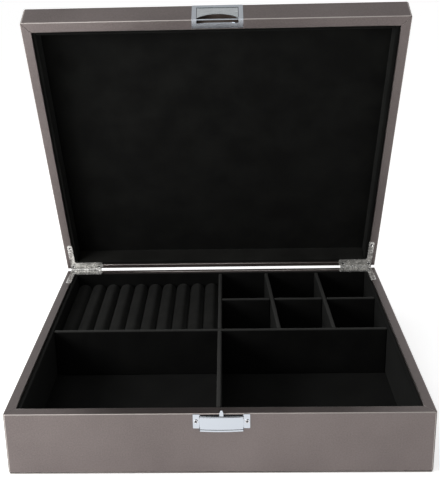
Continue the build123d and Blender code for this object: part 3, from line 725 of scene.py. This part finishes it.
def bottom_board():
    """The board under the box: its rim stands out below a narrow dark seam."""
    low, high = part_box("bottom_board")
    seam = high.z - SEAM_HEIGHT
    rounding = FOOT_ROUND * FOOT_EDGE
    profile = [
        (FOOT_EDGE, low.z),
        (rounding, low.z + rounding),
        (0, low.z + FOOT_EDGE),
        (0, seam - FOOT_EDGE / 2),
        (FOOT_EDGE / 2, seam),
        (SEAM_INSET, seam),
        (SEAM_INSET, high.z),
    ]
    mesh = bmesh.new()
    rings = []
    for inset, z in profile:
        shift = Vector((inset, inset, 0))
        outline = rounded_outline(low + shift, high - shift, FOOT_CORNER)
        rings.append([mesh.verts.new((x, y, z)) for x, y in outline])
    mesh.faces.new(rings[0][::-1])
    mesh.faces.new(rings[-1])
    count = len(rings[0])
    for level, (first, second) in enumerate(zip(rings, rings[1:])):
        for index in range(count):
            after = (index + 1) % count
            face = mesh.faces.new((first[index], first[after], second[after], second[index]))
            face.material_index = 1 if level >= SEAM_LEVEL else 0
    bmesh.ops.recalc_face_normals(mesh, faces=mesh.faces)
    piece("bottom_board_wrapped", mesh, "base", board_edge, ["bottom_board"],
          others=(board,), smooth=False)


bottom_board()

# --- Ring rolls ---------------------------------------------------------------------------

ROLL_COUNT = 10
ROLL_END = 3.6 * MM
ROLL_STATIONS = 56
ROLL_SIDES = 40
ROLL_RIPPLE_SIZE = 9 * MM
ROLL_RIPPLE_DEPTH = 0.16 * MM
WALL_LEVELS = (0.35, 0.7, 1.0)


def ring_roll(node, seed):
    """A velvet roll: half-round on top, straight-sided below, drawn in at its ends."""
    low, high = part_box(node)
    radius = (high.x - low.x) / 2
    length = high.y - low.y
    axis_x = (low.x + high.x) / 2
    axis_z = high.z - radius
    mesh = bmesh.new()
    rings = []
    for station in range(ROLL_STATIONS + 1):
        share = (1 - cos(pi * station / ROLL_STATIONS)) / 2
        y = low.y + length * share
        from_end = min(y - low.y, high.y - y)
        draw_in = 0.0
        if from_end < ROLL_END:
            draw_in = ROLL_END - sqrt(max(ROLL_END**2 - (ROLL_END - from_end) ** 2, 0.0))
        reach = radius - draw_in
        ring = []
        for side in range(ROLL_SIDES + 1):
            angle = pi * side / ROLL_SIDES
            ring.append(mesh.verts.new((axis_x - reach * cos(angle), y, axis_z + reach * sin(angle))))
        for level in WALL_LEVELS:
            z = axis_z + (low.z - axis_z) * level
            ring.append(mesh.verts.new((axis_x + reach, y, z)))
        for level in reversed(WALL_LEVELS):
            z = axis_z + (low.z - axis_z) * level
            ring.append(mesh.verts.new((axis_x - reach, y, z)))
        rings.append(ring)
    count = len(rings[0])
    for first, second in zip(rings, rings[1:]):
        for index in range(count):
            after = (index + 1) % count
            mesh.faces.new((first[index], first[after], second[after], second[index]))
    mesh.faces.new(rings[0])
    mesh.faces.new(rings[-1][::-1])
    bmesh.ops.recalc_face_normals(mesh, faces=mesh.faces)
    mesh.normal_update()
    ripple(mesh.verts, ROLL_RIPPLE_SIZE, ROLL_RIPPLE_DEPTH, seed)
    made = piece(f"{node}_velvet", mesh, "base", roll_velvet_painted_lighter, [node])


for index in range(ROLL_COUNT):
    ring_roll(f"ring_roll_{index + 1:02d}", seed + index)

# --- Screws -------------------------------------------------------------------------------

ORDER_SLOPE = 0.37
SCREW_RINGS = 14
SCREW_SIDES = 40
CROSS_HALF_WIDTH = 0.3 * MM
CROSS_REACH = 0.95 * MM
CROSS_DEPTH = 0.55 * MM
SHANK_RADIUS = 0.66 * MM
SCREW_POINT = 1.0 * MM
RECESS_TAPER = 0.5
HINGE_SCREW_TURN = 0.5
HINGE_SCREW_STEP = 1.1
LATCH_SCREW_TURN = 0.4


def island_boxes(node, turn):
    """The box of each separate solid in a node after a turn, in a fixed order from left to right."""
    mesh = bmesh.new()
    mesh.from_mesh(frame["nodes"][node].data)
    mesh.transform(turn)
    bmesh.ops.remove_doubles(mesh, verts=mesh.verts, dist=WELD)
    left = set(mesh.verts)
    boxes = []
    while left:
        front = [left.pop()]
        found = []
        while front:
            vertex = front.pop()
            found.append(vertex.co.copy())
            for edge in vertex.link_edges:
                other = edge.other_vert(vertex)
                if other in left:
                    left.remove(other)
                    front.append(other)
        boxes.append(corners_of(found))
    mesh.free()
    return sorted(boxes, key=lambda box: box[0].x + ORDER_SLOPE * box[0].y)


def add_screw(mesh, place, radius, crown, edge, cone, length, turn):
    """A cross-recessed screw whose head looks along its own +Z; crown and edge are its heights."""
    matrix = place @ Matrix.Rotation(turn, 4, "Z")
    rings = []
    recess = set()
    for index in range(1, SCREW_RINGS + 1):
        share = index / SCREW_RINGS
        ring = []
        for side in range(SCREW_SIDES):
            angle = 2 * pi * side / SCREW_SIDES
            x = radius * share * cos(angle)
            y = radius * share * sin(angle)
            height = edge + (crown - edge) * sqrt(1 - share**2) if crown > edge else crown
            near, far = sorted((abs(x), abs(y)))
            sunk = near < CROSS_HALF_WIDTH and far < CROSS_REACH
            if sunk:
                height -= CROSS_DEPTH * (1 - far / CROSS_REACH * RECESS_TAPER)
            ring.append(mesh.verts.new(matrix @ Vector((x, y, height))))
            if sunk:
                recess.add(ring[-1])
        rings.append(ring)
    for ring_radius, height in ((SHANK_RADIUS, -cone), (SHANK_RADIUS, SCREW_POINT - length)):
        rings.append([
            mesh.verts.new(matrix @ Vector((
                ring_radius * cos(2 * pi * side / SCREW_SIDES),
                ring_radius * sin(2 * pi * side / SCREW_SIDES),
                height,
            )))
            for side in range(SCREW_SIDES)
        ])
    middle = mesh.verts.new(matrix @ Vector((0, 0, crown - CROSS_DEPTH)))
    point = mesh.verts.new(matrix @ Vector((0, 0, -length)))
    # Faces in the cross recess take the second, near-black material: painted shade in the recess.
    for side in range(SCREW_SIDES):
        after = (side + 1) % SCREW_SIDES
        mesh.faces.new((middle, rings[0][side], rings[0][after])).material_index = 1
        mesh.faces.new((point, rings[-1][after], rings[-1][side]))
        for inner, outer in zip(rings, rings[1:]):
            face = mesh.faces.new((inner[side], outer[side], outer[after], inner[after]))
            face.material_index = 1 if recess.intersection(face.verts) else 0


LEAF_THICKNESS = 1.2 * MM
HEAD_FACES = {"base": Matrix.Identity(4), "lid": Matrix.Rotation(pi, 4, "X")}
for body, facing in HEAD_FACES.items():
    node = f"{body}_hinge_screws"
    turn = to_shut if body == "lid" else Matrix.Identity(4)
    mesh = bmesh.new()
    for index, (low, high) in enumerate(island_boxes(node, turn)):
        middle = (low + high) / 2
        face = high.z if body == "base" else low.z
        place = Matrix.Translation((middle.x, middle.y, face)) @ facing
        radius = (high.x - low.x) / 2
        twist = HINGE_SCREW_TURN + HINGE_SCREW_STEP * index
        add_screw(mesh, place, radius, 0, 0, LEAF_THICKNESS, high.z - low.z, twist)
    back = to_open if body == "lid" else None
    piece(f"{body}_screws", mesh, body, steel, [node], back, [recess_painted_shade_steel])

PAN_HEIGHT = 0.6 * MM
PAN_EDGE = 0.35 * MM
mesh = bmesh.new()
for index, (low, high) in enumerate(island_boxes("latch_screws", Matrix.Identity(4))):
    middle = (low + high) / 2
    seat = low.y + PAN_HEIGHT
    place = Matrix.Translation((middle.x, seat, middle.z)) @ Matrix.Rotation(pi / 2, 4, "X")
    radius = (high.x - low.x) / 2
    add_screw(mesh, place, radius, PAN_HEIGHT, PAN_EDGE, 0, high.y - seat, LATCH_SCREW_TURN + index)
piece("latch_screws_turned", mesh, "base", steel, ["latch_screws"], None, [recess_painted_shade_steel])

# --- Floor, lamps and world ---------------------------------------------------------------

FLOOR_HALF_SIZE = 15
FLOOR_DROP = 0.2 * MM
FLOOR_COLOUR = (0.86, 0.86, 0.86)
FLOOR_GLOW = 0.57


def make_floor():
    """A large pale floor that shows white and keeps a soft shadow."""
    mesh = bmesh.new()
    bmesh.ops.create_grid(mesh, x_segments=8, y_segments=8, size=FLOOR_HALF_SIZE)
    data = bpy.data.meshes.new("floor")
    mesh.to_mesh(data)
    mesh.free()
    floor = bpy.data.objects.new("floor", data)
    floor.location.z = -FLOOR_DROP
    bpy.context.scene.collection.objects.link(floor)
    material = bpy.data.materials.new("floor")
    material.use_nodes = True
    tree = material.node_tree
    tree.nodes.clear()
    output = tree.nodes.new("ShaderNodeOutputMaterial")
    matte = tree.nodes.new("ShaderNodeBsdfDiffuse")
    matte.inputs["Color"].default_value = (*FLOOR_COLOUR, 1)
    glow = tree.nodes.new("ShaderNodeEmission")
    glow.inputs["Color"].default_value = (1, 1, 1, 1)
    path = tree.nodes.new("ShaderNodeLightPath")
    seen = tree.nodes.new("ShaderNodeMath")
    seen.operation = "MAXIMUM"
    tree.links.new(path.outputs["Is Camera Ray"], seen.inputs[0])
    seen_too = tree.nodes.new("ShaderNodeMath")
    seen_too.operation = "MAXIMUM"
    tree.links.new(path.outputs["Is Glossy Ray"], seen_too.inputs[0])
    tree.links.new(path.outputs["Is Transmission Ray"], seen_too.inputs[1])
    tree.links.new(seen_too.outputs[0], seen.inputs[1])
    strength = tree.nodes.new("ShaderNodeMath")
    strength.operation = "MULTIPLY"
    strength.inputs[1].default_value = FLOOR_GLOW
    tree.links.new(seen.outputs[0], strength.inputs[0])
    tree.links.new(strength.outputs[0], glow.inputs["Strength"])
    both = tree.nodes.new("ShaderNodeAddShader")
    tree.links.new(matte.outputs[0], both.inputs[0])
    tree.links.new(glow.outputs[0], both.inputs[1])
    tree.links.new(both.outputs[0], output.inputs["Surface"])
    data.materials.append(material)


def make_lamp(name, place, target, width, height, power):
    """A soft box that faces a point."""
    data = bpy.data.lights.new(name, "AREA")
    data.shape = "RECTANGLE"
    data.size = width
    data.size_y = height
    data.energy = power
    lamp = bpy.data.objects.new(name, data)
    lamp.location = place
    lamp.rotation_mode = "QUATERNION"
    lamp.rotation_quaternion = (Vector(target) - Vector(place)).to_track_quat("-Z", "Y")
    bpy.context.scene.collection.objects.link(lamp)


def direction_light(tree, direction, start, end, low, high):
    """A value that goes from low to high while a direction's component goes from start to end."""
    made = tree.nodes.new("ShaderNodeMapRange")
    made.inputs["From Min"].default_value = start
    made.inputs["From Max"].default_value = end
    made.inputs["To Min"].default_value = low
    made.inputs["To Max"].default_value = high
    tree.links.new(direction, made.inputs["Value"])
    return made.outputs["Result"]


def make_world():
    """Pale light, weak from the camera's side, strong from behind and a little weaker from above."""
    world = bpy.data.worlds.new("studio")
    bpy.context.scene.world = world
    world.use_nodes = True
    tree = world.node_tree
    tree.nodes.clear()
    output = tree.nodes.new("ShaderNodeOutputWorld")
    background = tree.nodes.new("ShaderNodeBackground")
    place = tree.nodes.new("ShaderNodeTexCoord")
    split = tree.nodes.new("ShaderNodeSeparateXYZ")
    tree.links.new(place.outputs["Generated"], split.inputs[0])
    height = direction_light(tree, split.outputs["Z"], start=0.1, end=0.7, low=0.8, high=0.68)
    depth = direction_light(tree, split.outputs["Y"], start=-0.7, end=0.3, low=0.2, high=1.3)
    both = tree.nodes.new("ShaderNodeMath")
    both.operation = "MULTIPLY"
    tree.links.new(height, both.inputs[0])
    tree.links.new(depth, both.inputs[1])
    tree.links.new(both.outputs[0], background.inputs["Strength"])
    tree.links.new(background.outputs[0], output.inputs["Surface"])


make_floor()
make_world()
make_lamp("key", (-0.7, -0.42, 0.4), target=(-0.15, -0.2, 0), width=0.45, height=0.35, power=6.5)
make_lamp("overhead", (-0.28, -0.3, 0.95), target=(0, -0.05, 0), width=0.7, height=0.45, power=2.2)
bpy.context.scene.view_settings.view_transform = "Standard"
